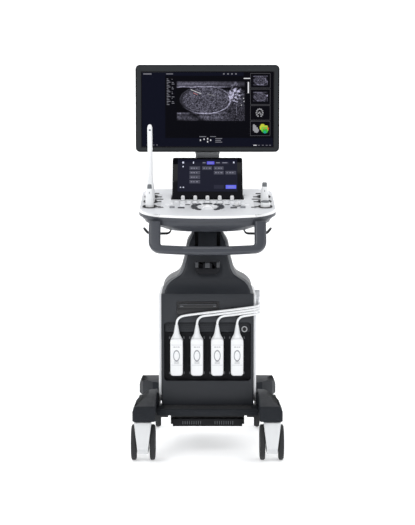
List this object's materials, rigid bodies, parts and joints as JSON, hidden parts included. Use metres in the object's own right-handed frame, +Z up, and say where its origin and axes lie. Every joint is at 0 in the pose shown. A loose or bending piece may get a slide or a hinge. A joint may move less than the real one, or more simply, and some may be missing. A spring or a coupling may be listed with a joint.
{
  "type": "ultrasound machine",
  "caption": "Ultrasound cart: caster base, cabinet with plugged-in probe cables, lifting console with touch panel and probe holders, monitor on an arm.",
  "frame": {"origin": "on the floor under the middle of the machine's bounding box", "axes": "+Z up, -Y towards the user, +X to the user's right"},
  "size_m": [0.534, 0.7249, 1.387],
  "materials": {
    "chassis": "powder-coated steel, dark",
    "charcoal_shell": "fine-textured moulded plastic, charcoal",
    "slate_shell": "satin moulded plastic, slate",
    "white_shell": "satin white moulded plastic",
    "caster_shell": "light grey moulded plastic",
    "tread": "dark rubber tread",
    "column": "anodised extrusion",
    "port_black": "black textured plastic",
    "drive_black": "black plastic",
    "cable": "white jacket",
    "arm_silver": "satin silver paint",
    "bezel": "dark slate plastic",
    "display": "black display glass, lit",
    "wire": "black coated wire",
    "keys": "white keys",
    "knob": "white knobs",
    "probe": "white probe body",
    "cage": "bent sheet"
  },
  "bodies": {
    "cart": {"base_frame": "chassis", "leg_covers": "charcoal_shell", "footrest": "charcoal_shell", "front_cover": "charcoal_shell", "side_panel_right": "white_shell", "side_panel_left": "white_shell", "rear_cover": "charcoal_shell", "neck_cover": "charcoal_shell", "column_outer": "column", "port_panel": "port_black", "optical_drive": "drive_black", "neck_hook": "port_black", "cable_guide": "white_shell", "card_cage": "cage", "probe_plug_1": "white_shell", "probe_plug_2": "white_shell", "probe_plug_3": "white_shell", "probe_plug_4": "white_shell", "probe_cable_1": "cable", "probe_cable_2": "cable", "probe_cable_3": "cable", "probe_cable_4": "cable"},
    "column": {"column_inner": "column"},
    "console": {"console_lower": "slate_shell", "console_top": "white_shell", "holder_right": "white_shell", "holder_left": "white_shell", "handle": "slate_shell", "wire_hooks": "wire", "key_bank": "keys", "riser": "arm_silver"},
    "touch_screen": {"touch_case": "bezel", "touch_glass": "display"},
    "filter_drawer": {"filter_tray": "port_black"},
    "disc_drawer": {"disc_tray": "drive_black"},
    "arm_base": {"arm_knuckle": "arm_silver"},
    "arm": {"arm_link": "arm_silver"},
    "head": {"monitor_head": "arm_silver"},
    "monitor": {"monitor_back": "bezel", "monitor_bezel": "bezel", "monitor_panel": "display"},
    "ball": {"trackball": "keys"},
    "gain": {"gain_knob": "knob"},
    "swivel_fl": {"caster_fl": "caster_shell"},
    "wheel_fl": {"wheels_fl": "tread"},
    "swivel_fr": {"caster_fr": "caster_shell"},
    "wheel_fr": {"wheels_fr": "tread"},
    "swivel_rl": {"caster_rl": "caster_shell"},
    "wheel_rl": {"wheels_rl": "tread"},
    "swivel_rr": {"caster_rr": "caster_shell"},
    "wheel_rr": {"wheels_rr": "tread"},
    "dial_1": {"encoder_1": "knob"},
    "dial_2": {"encoder_2": "knob"},
    "dial_3": {"encoder_3": "knob"},
    "dial_4": {"encoder_4": "knob"},
    "dial_5": {"encoder_5": "knob"},
    "probe_endocavity_held": {"probe_endocavity": "probe"},
    "probe_linear_held": {"probe_linear": "probe"},
    "probe_phased_held": {"probe_phased": "probe"},
    "probe_convex_held": {"probe_convex": "probe"}
  },
  "joints": [
    {"name": "caster_swivel_fl", "type": "hinge", "parent": "cart", "child": "swivel_fl", "pos_m": [-0.225, -0.292, 0.15], "axis": [0, 0, 1], "continuous": true},
    {"name": "wheel_spin_fl", "type": "hinge", "parent": "swivel_fl", "child": "wheel_fl", "pos_m": [-0.225, -0.26, 0.0625], "axis": [1, 0, 0], "continuous": true},
    {"name": "caster_swivel_fr", "type": "hinge", "parent": "cart", "child": "swivel_fr", "pos_m": [0.225, -0.292, 0.15], "axis": [0, 0, 1], "continuous": true},
    {"name": "wheel_spin_fr", "type": "hinge", "parent": "swivel_fr", "child": "wheel_fr", "pos_m": [0.225, -0.26, 0.0625], "axis": [1, 0, 0], "continuous": true},
    {"name": "caster_swivel_rl", "type": "hinge", "parent": "cart", "child": "swivel_rl", "pos_m": [-0.225, 0.268, 0.15], "axis": [0, 0, 1], "continuous": true},
    {"name": "wheel_spin_rl", "type": "hinge", "parent": "swivel_rl", "child": "wheel_rl", "pos_m": [-0.225, 0.3, 0.0625], "axis": [1, 0, 0], "continuous": true},
    {"name": "caster_swivel_rr", "type": "hinge", "parent": "cart", "child": "swivel_rr", "pos_m": [0.225, 0.268, 0.15], "axis": [0, 0, 1], "continuous": true},
    {"name": "wheel_spin_rr", "type": "hinge", "parent": "swivel_rr", "child": "wheel_rr", "pos_m": [0.225, 0.3, 0.0625], "axis": [1, 0, 0], "continuous": true},
    {"name": "console_lift", "type": "slide", "parent": "cart", "child": "column", "axis": [0, 0, 1], "range_m": [0, 0.18]},
    {"name": "console_swivel", "type": "hinge", "parent": "column", "child": "console", "pos_m": [0, 0.055, 0.8], "axis": [0, 0, 1], "range_deg": [-35, 35]},
    {"name": "touch_tilt", "type": "hinge", "parent": "console", "child": "touch_screen", "pos_m": [0, -0.006, 0.941], "axis": [1, 0, 0], "range_deg": [0, 22]},
    {"name": "arm_swivel", "type": "hinge", "parent": "console", "child": "arm_base", "pos_m": [0, 0.1, 1.036], "axis": [0, 0, 1], "range_deg": [-60, 60]},
    {"name": "arm_lift", "type": "hinge", "parent": "arm_base", "child": "arm", "pos_m": [0, 0.1, 1.076], "axis": [1, 0, 0], "range_deg": [-20, 5]},
    {"name": "head_level", "type": "hinge", "parent": "arm", "child": "head", "pos_m": [0, 0.1, 1.208], "axis": [1, 0, 0], "range_deg": [-5, 20]},
    {"name": "monitor_tilt", "type": "hinge", "parent": "head", "child": "monitor", "pos_m": [0, 0.072, 1.232], "axis": [1, 0, 0], "range_deg": [-20, 5]},
    {"name": "disc_tray_slide", "type": "slide", "parent": "cart", "child": "disc_drawer", "axis": [0, -1, 0], "range_m": [0, 0.125]},
    {"name": "filter_tray_slide", "type": "slide", "parent": "cart", "child": "filter_drawer", "axis": [0, -1, 0], "range_m": [0, 0.15]},
    {"name": "encoder_turn_1", "type": "hinge", "parent": "console", "child": "dial_1", "pos_m": [-0.088, -0.07623, 0.90299], "axis": [0, -0.1564, 0.9877], "continuous": true},
    {"name": "encoder_turn_2", "type": "hinge", "parent": "console", "child": "dial_2", "pos_m": [-0.044, -0.07623, 0.90299], "axis": [0, -0.1564, 0.9877], "continuous": true},
    {"name": "encoder_turn_3", "type": "hinge", "parent": "console", "child": "dial_3", "pos_m": [0, -0.07623, 0.90299], "axis": [0, -0.1564, 0.9877], "continuous": true},
    {"name": "encoder_turn_4", "type": "hinge", "parent": "console", "child": "dial_4", "pos_m": [0.044, -0.07623, 0.90299], "axis": [0, -0.1564, 0.9877], "continuous": true},
    {"name": "encoder_turn_5", "type": "hinge", "parent": "console", "child": "dial_5", "pos_m": [0.088, -0.07623, 0.90299], "axis": [0, -0.1564, 0.9877], "continuous": true},
    {"name": "gain_turn", "type": "hinge", "parent": "console", "child": "gain", "pos_m": [0.103, -0.16512, 0.88891], "axis": [0, -0.1564, 0.9877], "continuous": true},
    {"name": "trackball_roll", "type": "hinge", "parent": "console", "child": "ball", "pos_m": [0, -0.1922, 0.87449], "axis": [1, 0, 0], "continuous": true},
    {"name": "probe_endocavity_lift_out", "type": "slide", "parent": "console", "child": "probe_endocavity_held", "axis": [0, -0.1564, 0.9877], "range_m": [0, 0.06]},
    {"name": "probe_linear_lift_out", "type": "slide", "parent": "console", "child": "probe_linear_held", "axis": [0, -0.1564, 0.9877], "range_m": [0, 0.06]},
    {"name": "probe_phased_lift_out", "type": "slide", "parent": "console", "child": "probe_phased_held", "axis": [0, -0.1564, 0.9877], "range_m": [0, 0.06]},
    {"name": "probe_convex_lift_out", "type": "slide", "parent": "console", "child": "probe_convex_held", "axis": [0, -0.1564, 0.9877], "range_m": [0, 0.06]}
  ],
  "couplings": [
    {"joint": "head_level", "follows": "arm_lift", "ratio": -1}
  ]
}
